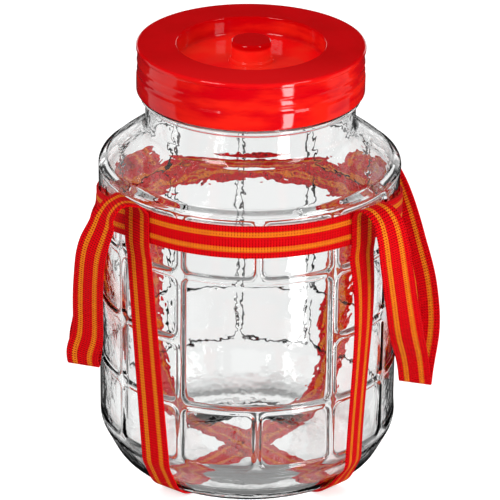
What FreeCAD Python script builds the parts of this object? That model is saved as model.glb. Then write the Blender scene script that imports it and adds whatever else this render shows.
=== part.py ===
"""Storage jar: pressed glass jar with a windowpane rib grid, a screw-on plastic lid and a webbing harness.

Millimetres, +Z up. The origin is on the ground under the jar's axis. The front is -Y.
Heights named *_H are above the glass foot; GLASS_Z lifts them off the webbing that the jar stands on.
"""
import FreeCAD, Part
import math
import os

V = FreeCAD.Vector
UP = V(0, 0, 1)
ORIGIN = V(0, 0, 0)

# ---- webbing -------------------------------------------------------------------------------------
STRAP_W = 25.4            # width of the webbing
STRAP_T = 1.4             # thickness of the webbing
CLEAR = 0.3               # gap between webbing and whatever it lies on

# ---- glass jar -----------------------------------------------------------------------------------
BODY_R = 111.3            # outer radius of the panels
RIB_RISE = 1.3            # how far a rib stands out from the panels
RIB_W = 6.6               # width of a rib where it leaves the panel
CREST_LEAD = 0.15         # how much further the upright ribs stand out than the level ones
RIB_COUNT = 12            # upright ribs round the jar
RIB_TURN = 3.8            # degrees by which the grid is turned from the front
WALL = 4.4                # wall of the body and shoulder
BASE_T = 7.5              # thickness of the base
PUNT_R = 34.0             # radius of the pushed-up middle of the base
PUNT_H = 6.0              # height of the pushed-up middle
FOOT_IN_R = 68.0          # inner edge of the foot ring
HEEL_SLANT = 27.0         # degrees by which the heel leans from upright
HEEL_BEND_H = 32.4        # height at which the heel would meet the upright body
HEEL_ROUND = 26.0         # radius from the foot ring to the heel
HEEL_TOP_ROUND = 18.0     # radius from the heel to the body
HEEL_H = 37.5             # height at which the panels' step starts
SILL_H = 3.0              # height of the step from the heel to the panels
PANE_H = (86.1, 137.5, 190.7)    # heights of the level ribs between heel and shoulder
PANEL_TOP_H = 238.5       # height of the level rib at the shoulder's edge
SHOULDER_BEND_H = 243.0   # height at which the body would meet the slope of the shoulder
SHOULDER_SLANT = 53.0     # degrees by which the shoulder leans from upright
SHOULDER_ROUND = 22.0     # radius from body to shoulder
NECK_R = 77.8             # outer radius of the neck
NECK_ROUND = 9.0          # radius from shoulder to neck
BEAD_R = 81.6             # outer radius of the bead under the lid
BEAD_T = 6.5              # height of the bead
FINISH_R = 77.2           # outer radius of the mouth inside the lid
RIM_ROUND = 1.4           # radius of the mouth's outer lip

# ---- lid -----------------------------------------------------------------------------------------
LID_H = 295.7             # height of the lid's bottom edge
LID_DEPTH = 36.5          # height of the skirt
LID_R = 84.4              # outer radius of the skirt's bottom band and of the lip at the top
LID_UPPER_R = 83.6        # outer radius of the stepped part between them
LID_LIP = 3.4             # height of the lip
LID_WALL = 2.5            # wall of the lid
LID_BAND = 13.5           # height of the bottom band
LID_RINGS = (17.5, 24.0)         # heights of the shallow rings above the bottom band
LID_RING_RISE = 0.4       # how far those rings stand out
LID_RING_H = 3.6          # height of such a ring
LID_EDGE_ROUND = 1.8      # radius of the lid's upper edge
LID_FOOT_ROUND = 2.0      # radius of the skirt's lower edge
LID_SOFT = 1.0            # radius that softens the lid's small steps
LID_DRAFT = 0.8           # taper of the recess, so that the lid leaves its mould
RECESS_R = 54.9           # radius of the round recess in the top
RECESS_DEPTH = 14.5       # depth of the recess
KNOB_R = 14.5             # radius of the knob's top
KNOB_FOOT_R = 15.8        # radius of the knob's foot
KNOB_FOOT_H = 3.6         # height of the foot
KNOB_STAND = 2.5          # how far the knob stands above the lid's top
KNOB_ROUND = 1.4          # radius of the knob's upper edge
KNOB_DRAFT = 0.3          # taper of the knob
RECESS_ROUND = 3.0        # radius between the recess's wall and floor

# ---- harness -------------------------------------------------------------------------------------
BAND_FRONT_H = 222.6      # height of the waist band's middle at the front
BAND_DROP = 35.0          # how much lower the band lies at the back
BAND_BEND_Y = 80.0        # distance from the axis at which the band starts and ends its slope
STEP_RUN = 12.0           # height over which a strap steps out over the band
STEP_CLEAR = 2.0          # how far below the band that step ends
STEP_ROUND = 6.0          # radius of its two bends
JOIN_BELOW = 10.0         # the handles start this far below the band's middle plus half width
SLING_CROSS_R = 34.0      # radius within which the upper sling rises over the lower one
LEFT_BAND_AZ = -44.7      # azimuth of the front left strap at the band
LEFT_HEEL_AZ = -36.6      # and at the heel
RIGHT_BAND_AZ = 46.0      # azimuth of the front right strap at the band
RIGHT_HEEL_AZ = 42.5      # and at the heel
RIGHT_TWIST = 19.0        # degrees by which the front right strap turns on its own axis above the heel
RIGHT_BOW = 2.2           # degrees by which that strap bows outwards between band and heel
BACK_LEFT_AZ = -135.0     # azimuth of the back left strap at the band
BACK_RIGHT_AZ = 135.0     # azimuth of the back right strap at the band
STATION_REACH = 128.0     # strap radius plus half width for which the handles' stations are given
STATION_Z = 227.0         # height of the front straps' ends for which they are given
FOLD_GAP = 2.6            # half the thickness of the fold at a handle's lowest point
FOLD_RISE = 4.5           # height over which a handle turns round at its fold

# ---- worked out ----------------------------------------------------------------------------------
GLASS_Z = STRAP_T + CLEAR
CREST_R = BODY_R + RIB_RISE
RIB_ROUND = (RIB_W ** 2 / 4 + RIB_RISE ** 2) / (2 * RIB_RISE)
HEEL_Z = GLASS_Z + HEEL_H
PANEL_Z0 = HEEL_Z + SILL_H
PANEL_Z1 = GLASS_Z + PANEL_TOP_H
HEEL_CORNER_R = CREST_R - HEEL_BEND_H * math.tan(math.radians(HEEL_SLANT))
NECK_FOOT_H = SHOULDER_BEND_H + (BODY_R - NECK_R) / math.tan(math.radians(SHOULDER_SLANT))
LID_Z0 = GLASS_Z + LID_H
LID_Z1 = LID_Z0 + LID_DEPTH
RIM_Z = LID_Z1 - LID_WALL
BAND_IN_R = CREST_R + CLEAR
BAND_OUT_R = BAND_IN_R + STRAP_T
STRAP_R = BAND_OUT_R + CLEAR + STRAP_T / 2
BODY_STRAP_R = CREST_R + CLEAR + STRAP_T / 2
BAND_FRONT_Z = GLASS_Z + BAND_FRONT_H
BAND_BACK_Z = BAND_FRONT_Z - BAND_DROP
JOIN_FRONT_Z = BAND_FRONT_Z + STRAP_W / 2 - JOIN_BELOW
JOIN_BACK_Z = JOIN_FRONT_Z - BAND_DROP


def rz(r, z):
    """A point of a profile that is turned round the axis."""
    return V(r, 0, z)


def revolve(edges):
    """Turn a closed profile into a solid."""
    wire = Part.Wire(Part.__sortEdges__(edges))
    return Part.Face(wire).revolve(ORIGIN, UP, 360)


def inset(corners, distances):
    """Move each side of an open outline to its left; the first and last corners keep their radius."""
    lines = []
    for (r0, z0, _), (r1, z1, _), distance in zip(corners, corners[1:], distances):
        length = math.hypot(r1 - r0, z1 - z0)
        ur = (r1 - r0) / length
        uz = (z1 - z0) / length
        lines.append((r0 - uz * distance, z0 + ur * distance, ur, uz))
    moved = []
    for k, (_, _, radius) in enumerate(corners[1:-1]):
        r0, z0, ur0, uz0 = lines[k]
        r1, z1, ur1, uz1 = lines[k + 1]
        turn = ur0 * uz1 - uz0 * ur1
        along = ((r1 - r0) * uz1 - (z1 - z0) * ur1) / turn
        change = -distances[k + 1] if turn > 0 else distances[k + 1]
        moved.append((r0 + ur0 * along, z0 + uz0 * along, max(radius + change, 0.8)))
    return moved


def rounded_edges(corners, closed=True):
    """Lines and arcs, in order, through corners (r, z, radius) that are rounded by their radius."""
    count = len(corners)
    starts = []
    ends = []
    arcs = []
    for i, (r, z, radius) in enumerate(corners):
        corner = rz(r, z)
        start = end = corner
        bend = None
        if radius > 0:
            before = rz(*corners[i - 1][:2]).sub(corner).normalize()
            after = rz(*corners[(i + 1) % count][:2]).sub(corner).normalize()
            half = math.acos(before.dot(after)) / 2
            start = corner + before * (radius / math.tan(half))
            end = corner + after * (radius / math.tan(half))
            middle = corner + (before + after).normalize() * (radius / math.sin(half) - radius)
            bend = Part.Arc(start, middle, end).toShape()
        starts.append(start)
        ends.append(end)
        arcs.append(bend)
    edges = []
    for i in range(count if closed else count - 1):
        if arcs[i]:
            edges.append(arcs[i])
        following = starts[(i + 1) % count]
        if ends[i].distanceToPoint(following) > 1e-6:
            edges.append(Part.makeLine(ends[i], following))
    return edges


def outline_points(corners, spacing):
    """Points (r, z) along an open rounded outline, close together on its bends."""
    points = [(corners[0][0], corners[0][1])]
    for edge in rounded_edges(corners, closed=False):
        bent = isinstance(edge.Curve, Part.Circle)
        count = 7 if bent else max(2, math.ceil(edge.Length / spacing) + 1)
        for point in edge.discretize(count)[1:]:
            points.append((point.x, point.z))
    return points


# ---- glass ---------------------------------------------------------------------------------------

def shell_corners(sill):
    """Outside of the body from the base's middle to the neck; a sill steps in from the heel to the panels."""
    corners = [(0, GLASS_Z, 0), (HEEL_CORNER_R, GLASS_Z, HEEL_ROUND)]
    if sill:
        corners += [(CREST_R, GLASS_Z + HEEL_BEND_H, HEEL_TOP_ROUND),
                    (CREST_R, HEEL_Z, 0.5), (BODY_R, PANEL_Z0, 0.5)]
    else:
        corners += [(BODY_R, GLASS_Z + HEEL_BEND_H, HEEL_TOP_ROUND)]
    corners += [(BODY_R, GLASS_Z + SHOULDER_BEND_H, SHOULDER_ROUND),
                (NECK_R, GLASS_Z + NECK_FOOT_H, NECK_ROUND), (NECK_R, RIM_Z, 0)]
    return corners


def glass_wall():
    """The jar without its ribs, turned from the outline of its wall."""
    bead_z1 = LID_Z0 - CLEAR
    bead_z0 = bead_z1 - BEAD_T
    mouth_r = NECK_R - WALL
    inner_z = GLASS_Z + BASE_T
    outside = [(0, GLASS_Z + PUNT_H, 0), (PUNT_R, GLASS_Z + PUNT_H, PUNT_R / 2), (FOOT_IN_R, GLASS_Z, 3.0)]
    outside += shell_corners(sill=True)[1:-1]
    outside += [(NECK_R, bead_z0, 1.0), (BEAD_R, bead_z0 + BEAD_T * 0.35, 1.8),
                (BEAD_R, bead_z1 - BEAD_T * 0.2, 1.2), (FINISH_R, bead_z1, 0.5), (FINISH_R, RIM_Z, RIM_ROUND)]
    corners = shell_corners(sill=False)
    inside = [(0, inner_z + PUNT_H / 2, 0), (PUNT_R, inner_z + PUNT_H / 2, PUNT_R / 2), (FOOT_IN_R, inner_z, 5.0)]
    inside += inset(corners, [BASE_T] + [WALL] * (len(corners) - 2))
    inside += [(mouth_r, RIM_Z, RIM_ROUND)]
    return revolve(rounded_edges(outside + inside[::-1]))


def upright_rib(angle, z0, z1):
    """Half-round rib on the body, rounded at both ends; angle 0 is the front."""
    r = CREST_R + CREST_LEAD - RIB_ROUND
    x = r * math.sin(math.radians(angle))
    y = -r * math.cos(math.radians(angle))
    bar = Part.makeCylinder(RIB_ROUND, z1 - z0, V(x, y, z0), UP)
    foot = Part.makeSphere(RIB_ROUND, V(x, y, z0))
    head = Part.makeSphere(RIB_ROUND, V(x, y, z1))
    return bar.fuse([foot, head])


def level_rib(z, start=0.0, sweep=360.0):
    """Half-round rib round the body at height z, from angle start through sweep degrees."""
    r = CREST_R - RIB_ROUND
    ring = Part.makeTorus(r, RIB_ROUND, V(0, 0, z), UP, 0, 360, sweep)
    ring.rotate(ORIGIN, UP, start - 90)
    return ring


def rib_grid():
    """The windowpane grid: a pane two cells wide and two high is left open at the front for a label."""
    step = 360 / RIB_COUNT
    heights = [GLASS_Z + h for h in PANE_H]
    bottom = PANEL_Z0 - SILL_H / 2
    top = PANEL_Z1
    ribs = []
    for i in range(RIB_COUNT):
        angle = RIB_TURN + i * step
        if i == 0:
            ribs.append(upright_rib(angle, bottom, heights[0]))
            ribs.append(upright_rib(angle, heights[2], top))
        else:
            ribs.append(upright_rib(angle, bottom, top))
    ribs.append(level_rib(heights[0]))
    ribs.append(level_rib(heights[1], RIB_TURN + step, 360 - 2 * step))
    ribs.append(level_rib(heights[2]))
    ribs.append(level_rib(PANEL_Z1))
    return ribs


def glass_jar():
    """The wall with the rib grid raised on it; the ribs' backs are cut off inside the wall."""
    core = Part.makeCylinder(BODY_R - WALL / 2, LID_Z1)
    ribs = [rib.cut(core) for rib in rib_grid()]
    return glass_wall().fuse(ribs).removeSplitter()


# ---- lid -----------------------------------------------------------------------------------------

def lid():
    """Lid with a stepped skirt, a flat ring top, a round recess and a central knob."""
    floor_z = LID_Z1 - RECESS_DEPTH
    knob_z = LID_Z1 + KNOB_STAND
    step_z = LID_Z0 + LID_BAND
    lip_z = LID_Z1 - LID_LIP
    inner_r = LID_UPPER_R - LID_WALL
    outline = [
        (0, knob_z, 0),
        (KNOB_R, knob_z, KNOB_ROUND),
        (KNOB_R + KNOB_DRAFT, floor_z + KNOB_FOOT_H, 0.8),
        (KNOB_FOOT_R, floor_z + KNOB_FOOT_H - 0.6, 0.8),
        (KNOB_FOOT_R + KNOB_DRAFT, floor_z, LID_SOFT),
        (RECESS_R - LID_DRAFT, floor_z, RECESS_ROUND),
        (RECESS_R, LID_Z1, 0.9),
        (LID_R, LID_Z1, LID_EDGE_ROUND),
        (LID_R, lip_z, 0.7),
        (LID_UPPER_R, lip_z - 0.9, 0.4),
    ]
    for height in reversed(LID_RINGS):
        ring_z = LID_Z0 + height
        outline += [(LID_UPPER_R, ring_z + LID_RING_H / 2, LID_SOFT),
                    (LID_UPPER_R + LID_RING_RISE, ring_z, LID_SOFT),
                    (LID_UPPER_R, ring_z - LID_RING_H / 2, LID_SOFT)]
    outline += [
        (LID_UPPER_R, step_z + 0.9, 0.5),
        (LID_R, step_z - 0.9, 0.6),
        (LID_R, LID_Z0, LID_FOOT_ROUND),
        (inner_r, LID_Z0, 0.4),
        (inner_r, LID_Z1 - LID_WALL, LID_SOFT),
        (RECESS_R + LID_WALL, LID_Z1 - LID_WALL, LID_SOFT),
        (RECESS_R + LID_WALL - LID_DRAFT, floor_z - LID_WALL, RECESS_ROUND),
        (0, floor_z - LID_WALL, 0),
    ]
    return revolve(rounded_edges(outline))


# ---- webbing -------------------------------------------------------------------------------------

def azimuth_vector(degrees):
    """Level unit vector that points away from the axis; 0 is the front, 90 is +X."""
    angle = math.radians(degrees)
    return V(math.sin(angle), -math.cos(angle), 0)


def across_vector(degrees):
    """Level unit vector across a strap whose face looks towards an azimuth."""
    angle = math.radians(degrees)
    return V(math.cos(angle), math.sin(angle), 0)


def ribbon(centres, across):
    """Flat webbing through centre points, each with the direction across the webbing there."""
    sections = []
    last = len(centres) - 1
    for i, centre in enumerate(centres):
        along = (centres[min(i + 1, last)] - centres[max(i - 1, 0)]).normalize()
        side = across[i] - along * across[i].dot(along)
        side.normalize()
        face = along.cross(side)
        a = side * (STRAP_W / 2)
        b = face * (STRAP_T / 2)
        corners = [centre - a - b, centre + a - b, centre + a + b, centre - a + b]
        sections.append(Part.makePolygon(corners + corners[:1]))
    return Part.makeLoft(sections, True, True)


def waist_band():
    """Band round the ribs: level at the front, sloping down the sides, level and lower at the back."""
    height = LID_Z1
    tube = Part.makeCylinder(BAND_OUT_R, height).cut(Part.makeCylinder(BAND_IN_R, height))
    reach = BAND_OUT_R + STRAP_W
    half = STRAP_W / 2
    shift = half * math.tan(math.atan2(BAND_DROP, 2 * BAND_BEND_Y) / 2)
    top = [(-reach, BAND_FRONT_Z + half), (-BAND_BEND_Y + shift, BAND_FRONT_Z + half),
           (BAND_BEND_Y + shift, BAND_BACK_Z + half), (reach, BAND_BACK_Z + half)]
    bottom = [(reach, BAND_BACK_Z - half), (BAND_BEND_Y - shift, BAND_BACK_Z - half),
              (-BAND_BEND_Y - shift, BAND_FRONT_Z - half), (-reach, BAND_FRONT_Z - half)]
    outline = [V(-reach, y, z) for y, z in top + bottom]
    strip = Part.Face(Part.makePolygon(outline + outline[:1])).extrude(V(2 * reach, 0, 0))
    return tube.common(strip)


def mix(a, b, share):
    return a + (b - a) * share


def clamp(share):
    return max(0.0, min(1.0, share))


def smooth(share):
    share = clamp(share)
    return share * share * (3 - 2 * share)


def sling_outline(top_z):
    """Outline of a strap's middle from under the jar, round the heel and over the band, to top_z."""
    offset = CLEAR + STRAP_T / 2
    glass = [(0, GLASS_Z, 0), (HEEL_CORNER_R, GLASS_Z, HEEL_ROUND),
             (CREST_R, GLASS_Z + HEEL_BEND_H, HEEL_TOP_ROUND), (CREST_R, top_z, 0)]
    step_z = top_z + JOIN_BELOW - STRAP_W - STEP_CLEAR
    outline = [(0, STRAP_T / 2, 0)] + inset(glass, [-offset] * 3)
    outline += [(BODY_STRAP_R, step_z - STEP_RUN, STEP_ROUND), (STRAP_R, step_z, STEP_ROUND), (STRAP_R, top_z, 0)]
    return outline


def sling_half(band_az, heel_az, top_z, twist, bow, rise):
    """Centres and across directions of a strap from under the jar's middle up to the band."""
    centres = []
    across = []
    straight_z = top_z - STRAP_W
    for r, z in outline_points(sling_outline(top_z), 10.0):
        share = clamp((z - HEEL_Z) / (straight_z - HEEL_Z))
        az = mix(heel_az, band_az, share) + bow * math.sin(math.pi * share * share)
        turn = twist * smooth((z - GLASS_Z) / HEEL_H) * (1 - share * share)
        lift = abs(math.sin(math.radians(turn))) * STRAP_W / 2
        z += rise * (1 - smooth((r - STRAP_W * 0.8) / (SLING_CROSS_R - STRAP_W * 0.8)))
        centres.append(azimuth_vector(az) * (r + lift) + V(0, 0, z))
        across.append(across_vector(az + turn))
    return centres, across


def sling(front, back, rise):
    """Strap from the band at the front, under the jar, to the band at the back."""
    front_centres, front_across = sling_half(*front, rise)
    back_centres, back_across = sling_half(*back, rise)
    back_across = [-vector for vector in back_across]
    return ribbon(front_centres[::-1] + back_centres[1:], front_across[::-1] + back_across[1:])


def handle_sections(stations, per_span=4):
    """Centres and across directions along a carrying loop.

    Stations are (x, y, z, azimuth that the webbing's face looks towards).
    """
    points = [V(x, y, z) for x, y, z, _ in stations]
    marks = [0.0]
    for a, b in zip(points, points[1:]):
        marks.append(marks[-1] + a.distanceToPoint(b))
    curve = Part.BSplineCurve()
    curve.interpolate(Points=points, Parameters=marks)
    centres = [points[0]]
    across = [across_vector(stations[0][3])]
    for i in range(len(stations) - 1):
        for k in range(1, per_span + 1):
            share = k / per_span
            centres.append(curve.value(mix(marks[i], marks[i + 1], share)))
            across.append(across_vector(mix(stations[i][3], stations[i + 1][3], smooth(share))))
    return centres, across


def strap_top(azimuth, z, face):
    """First or last station of a handle, on the end of a sling."""
    point = azimuth_vector(azimuth) * STRAP_R
    return (point.x, point.y, z, face)


def placed(stations):
    """Stations given for STATION_REACH and STATION_Z, moved out and up to suit the straps."""
    grow = STRAP_R + STRAP_W / 2 - STATION_REACH
    rise = JOIN_FRONT_Z - STATION_Z
    moved = []
    for x, y, z, face in stations:
        reach = 1 + grow / math.hypot(x, y)
        moved.append((x * reach, y * reach, z + rise, face))
    return moved


def fold_stations(x, y, z, face):
    """Down the front of a flat fold, round its bottom and up its back."""
    out = azimuth_vector(face) * FOLD_GAP
    high = z + FOLD_RISE
    return [(x + out.x, y + out.y, high, face), (x, y, z, face), (x - out.x, y - out.y, high, face)]


def left_stations():
    """Left handle: twists off the front strap, hangs face-on, folds and returns to the back strap."""
    start = [
        strap_top(LEFT_BAND_AZ, JOIN_FRONT_Z, -45),
        strap_top(LEFT_BAND_AZ, JOIN_FRONT_Z + 7, -46),
    ]
    front = [
        (-84.5, -85.0, 242.5, -56),
        (-93.0, -91.0, 246.0, -76),
        (-101.5, -93.5, 239.5, -64),
        (-106.0, -94.0, 228.0, -44),
        (-112.5, -92.5, 210.0, -34),
        (-116.0, -86.0, 188.0, -33),
        (-118.2, -66.0, 143.7, -28),
        (-120.3, -55.3, 117.0, -22),
    ]
    fold = fold_stations(-122.7, -45.0, 92.3, -18)
    back = [
        (-121.3, -39.0, 110.0, 10),
        (-121.0, -32.0, 131.0, 46),
        (-120.5, -14.0, 149.0, 70),
        (-118.5, 14.0, 163.0, 79),
        (-114.0, 44.0, 173.0, 74),
        (-108.0, 68.0, 181.0, 62),
        (-102.5, 85.0, 190.0, 52),
        (-98.5, 92.5, 200.0, 47),
        (-93.0, 93.0, 207.5, 46),
        (-87.5, 88.5, 208.5, 45),
    ]
    end = [
        strap_top(BACK_LEFT_AZ, JOIN_BACK_Z + 8, 45),
        strap_top(BACK_LEFT_AZ, JOIN_BACK_Z, 45),
    ]
    return start + placed(front + fold + back) + end


def right_stations():
    """Right handle: rolls outwards over the front strap, leans out, folds and bows round to the back strap."""
    start = [
        strap_top(RIGHT_BAND_AZ, JOIN_FRONT_Z, 46),
        strap_top(RIGHT_BAND_AZ, JOIN_FRONT_Z + 6, 46),
    ]
    front = [
        (89.5, -87.5, 241.5, 45),
        (97.5, -94.5, 237.0, 40),
        (102.0, -97.0, 226.0, 34),
        (106.0, -94.0, 204.0, 28),
        (111.5, -79.0, 166.0, 26),
        (119.0, -50.0, 118.0, 4),
    ]
    fold = fold_stations(127.5, -18.0, 67.0, -16)
    back = [
        (133.3, 3.0, 96.0, -22),
        (133.0, 30.0, 124.0, -34),
        (125.5, 56.0, 152.0, -42),
        (115.3, 79.0, 182.0, -46),
        (105.8, 90.0, 200.0, -46),
        (98.0, 93.0, 208.5, -46),
        (87.5, 87.0, 206.5, -45),
    ]
    end = [
        strap_top(BACK_RIGHT_AZ, JOIN_BACK_Z + 6, -45),
        strap_top(BACK_RIGHT_AZ, JOIN_BACK_Z, -45),
    ]
    return start + placed(front + fold + back) + end


def build():
    crossing_rise = STRAP_T + CLEAR
    front_left = (LEFT_BAND_AZ, LEFT_HEEL_AZ, JOIN_FRONT_Z, 0.0, 0.0)
    back_right = (BACK_RIGHT_AZ, LEFT_HEEL_AZ + 180, JOIN_BACK_Z, 0.0, 0.0)
    front_right = (RIGHT_BAND_AZ, RIGHT_HEEL_AZ, JOIN_FRONT_Z, RIGHT_TWIST, RIGHT_BOW)
    back_left = (BACK_LEFT_AZ, RIGHT_HEEL_AZ - 180, JOIN_BACK_Z, 0.0, 0.0)
    return {
        "glass_jar": glass_jar(),
        "lid": lid(),
        "waist_band": waist_band(),
        "sling_a": sling(front_left, back_right, 0.0),
        "sling_b": sling(front_right, back_left, crossing_rise),
        "handle_left": ribbon(*handle_sections(left_stations())),
        "handle_right": ribbon(*handle_sections(right_stations())),
    }


os.makedirs("parts", exist_ok=True)
for name, shape in build().items():
    shape.exportStep(os.path.join("parts", name + ".step"))
    box = shape.BoundBox
    print(f"{name}: valid {shape.isValid()}, solids {len(shape.Solids)}, faces {len(shape.Faces)}, "
          f"volume {shape.Volume / 1000:.1f} cm3, "
          f"x {box.XMin:.1f} {box.XMax:.1f}, y {box.YMin:.1f} {box.YMax:.1f}, z {box.ZMin:.2f} {box.ZMax:.2f}")
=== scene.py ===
"""Storage jar: clear pressed glass with a rib grid, a red plastic lid and a striped webbing harness.

Lengths are in metres, +Z up and -Y the front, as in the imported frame. Heights named *_H are above the
glass foot, and those named *_Z are above the ground. Azimuths are in degrees from the front, positive to
the right.
"""
import math

import bmesh
import bpy
import numpy as np
from mathutils import Matrix, Vector

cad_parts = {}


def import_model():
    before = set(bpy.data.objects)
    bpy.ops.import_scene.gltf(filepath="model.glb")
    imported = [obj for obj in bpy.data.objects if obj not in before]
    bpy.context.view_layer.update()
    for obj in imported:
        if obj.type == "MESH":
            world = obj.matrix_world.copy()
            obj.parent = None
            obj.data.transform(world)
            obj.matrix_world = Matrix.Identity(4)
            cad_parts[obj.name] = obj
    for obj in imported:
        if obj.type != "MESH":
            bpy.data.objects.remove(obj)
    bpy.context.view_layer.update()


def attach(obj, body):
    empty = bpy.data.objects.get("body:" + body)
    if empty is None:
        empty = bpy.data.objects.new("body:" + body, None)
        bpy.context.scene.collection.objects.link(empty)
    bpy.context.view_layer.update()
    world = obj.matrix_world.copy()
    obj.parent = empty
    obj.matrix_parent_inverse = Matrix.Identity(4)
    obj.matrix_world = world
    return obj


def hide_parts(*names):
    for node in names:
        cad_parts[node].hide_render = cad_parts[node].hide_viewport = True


MM = 0.001

# ---- webbing ---------------------------------------------------------------------------------------
STRAP_W = 25.4 * MM
STRAP_T = 1.4 * MM
CLEAR = 0.3 * MM
FLAT_LANES = 12               # faces across each flat side of a strip
WEAVE = 2.15 * MM             # pitch of the weave, along and across
STRIPES = ((0.195, 0.345), (0.655, 0.805))   # the orange stripes, as shares of the width
STRIPE_SOFT = 0.006           # half the width of a stripe's soft edge, as a share of the strip's
STRIPE_JAG = 0.011            # how far the weave shifts a stripe's edge, as a share of the width

# ---- glass -----------------------------------------------------------------------------------------
BODY_R = 111.3 * MM
RIB_RISE = 1.3 * MM
RIB_W = 6.6 * MM
RIB_COUNT = 12
RIB_TURN = 3.8                # degrees
PANE_ROUND = 5.0 * MM         # radius of a pane's corners
RIB_FILLET = 0.22 * MM        # softness of the line where a rib leaves its pane
WALL = 4.4 * MM
BASE_T = 7.5 * MM
PUNT_R = 34 * MM
PUNT_H = 6 * MM
FOOT_IN_R = 68 * MM
HEEL_SLANT = 27.0             # degrees from upright
HEEL_BEND_H = 32.4 * MM
HEEL_ROUND = 26 * MM
HEEL_TOP_ROUND = 18 * MM
HEEL_H = 37.5 * MM
SILL_H = 3 * MM
PANE_H = (86.1 * MM, 137.5 * MM, 190.7 * MM)
PANEL_TOP_H = 238.5 * MM
SHOULDER_BEND_H = 243 * MM
SHOULDER_SLANT = 53.0         # degrees from upright
SHOULDER_ROUND = 22 * MM
NECK_R = 77.8 * MM
NECK_ROUND = 9 * MM
BEAD_R = 81.6 * MM
BEAD_T = 6.5 * MM
FINISH_R = 77.2 * MM
RIM_ROUND = 1.4 * MM
RIM_FLAT = 2 * MM             # from the outer edge to where the rim's outside and inside meet
OUTER_RUN = 6 * MM            # longest face along the outside's outline
INNER_RUN = 8 * MM
ROWS_ABOVE = 4 * MM           # how far the close rows go on above the top rib's middle
BULGE = -0.25                 # how the inside follows the ribs, as a share of their height

# ---- lid -------------------------------------------------------------------------------------------
LID_H = 295.7 * MM
LID_DEPTH = 36.5 * MM
LID_R = 84.4 * MM
LID_UPPER_R = 83.6 * MM
LID_LIP = 3.4 * MM
LID_WALL = 2.5 * MM
LID_BAND = 13.5 * MM
LID_RINGS = (17.5 * MM, 24 * MM)
LID_RING_RISE = 0.4 * MM
LID_RING_HALF = 1.8 * MM      # half a ring's height
LID_STEP = 0.9 * MM           # half the height of the slopes at the lip and at the bottom band
LID_SEGMENTS = 240
RECESS_R = 54.9 * MM
RECESS_DEPTH = 14.5 * MM
KNOB_R = 14.5 * MM
KNOB_FOOT_R = 15.8 * MM
KNOB_FOOT_H = 3.6 * MM
KNOB_STAND = 2.5 * MM
DRAFT = 0.3 * MM              # how much the knob and its foot widen downwards
RECESS_DRAFT = 0.8 * MM

# ---- harness ---------------------------------------------------------------------------------------
BAND_FRONT_H = 222.6 * MM
BAND_DROP = 35 * MM
BAND_BEND_Y = 80 * MM
JOIN_BELOW = 10 * MM
SLING_CROSS_R = 34 * MM
LEFT_BAND_AZ = -44.7
LEFT_HEEL_AZ = -36.6
RIGHT_BAND_AZ = 46.0
RIGHT_HEEL_AZ = 42.5
RIGHT_TWIST = 19.0            # degrees
RIGHT_BOW = 2.2               # degrees
BACK_LEFT_AZ = -135.0
BACK_RIGHT_AZ = 135.0
FOLD_GAP = 2.6 * MM
FOLD_RISE = 4.5 * MM
BAND_STEPS = 480              # stations round the waist band
BAND_SPREAD = 12              # millimetres to each side over which the band's slope is softened
OVER_BAND = (14 * MM, 2 * MM)  # where a sling starts and ends its step outwards, below the band
OVER_BAND_ROUND = 6 * MM
HANDLE_RUN = 1.2 * MM         # longest face along a handle

# ---- worked out ------------------------------------------------------------------------------------
GLASS_Z = STRAP_T + CLEAR
CREST_R = BODY_R + RIB_RISE
FAR = 1.0                     # a distance beyond any rib
RIB_CURVE = (RIB_W ** 2 / 4 + RIB_RISE ** 2) / (2 * RIB_RISE)
HEEL_Z = GLASS_Z + HEEL_H
PANEL_Z0 = HEEL_Z + SILL_H
PANEL_Z1 = GLASS_Z + PANEL_TOP_H
HEEL_CORNER_R = CREST_R - HEEL_BEND_H * math.tan(math.radians(HEEL_SLANT))
NECK_FOOT_H = SHOULDER_BEND_H + (BODY_R - NECK_R) / math.tan(math.radians(SHOULDER_SLANT))
LID_Z0 = GLASS_Z + LID_H
LID_Z1 = LID_Z0 + LID_DEPTH
RIM_Z = LID_Z1 - LID_WALL
BAND_MID_R = CREST_R + CLEAR + STRAP_T / 2
STRAP_R = BAND_MID_R + STRAP_T + CLEAR
BAND_FRONT_Z = GLASS_Z + BAND_FRONT_H
JOIN_FRONT_Z = BAND_FRONT_Z + STRAP_W / 2 - JOIN_BELOW
JOIN_BACK_Z = JOIN_FRONT_Z - BAND_DROP


# ---- outlines and meshes ---------------------------------------------------------------------------

def inset(corners, distances):
    """Move each side of an open outline to its left; the first and last corners keep their radius."""
    lines = []
    for (r0, z0, _), (r1, z1, _), distance in zip(corners, corners[1:], distances):
        length = math.hypot(r1 - r0, z1 - z0)
        ur = (r1 - r0) / length
        uz = (z1 - z0) / length
        lines.append((r0 - uz * distance, z0 + ur * distance, ur, uz))
    moved = []
    for k, (_, _, radius) in enumerate(corners[1:-1]):
        r0, z0, ur0, uz0 = lines[k]
        r1, z1, ur1, uz1 = lines[k + 1]
        turn = ur0 * uz1 - uz0 * ur1
        along = ((r1 - r0) * uz1 - (z1 - z0) * ur1) / turn
        change = -distances[k + 1] if turn > 0 else distances[k + 1]
        moved.append((r0 + ur0 * along, z0 + uz0 * along, max(radius + change, 0.8 * MM)))
    return moved


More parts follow.
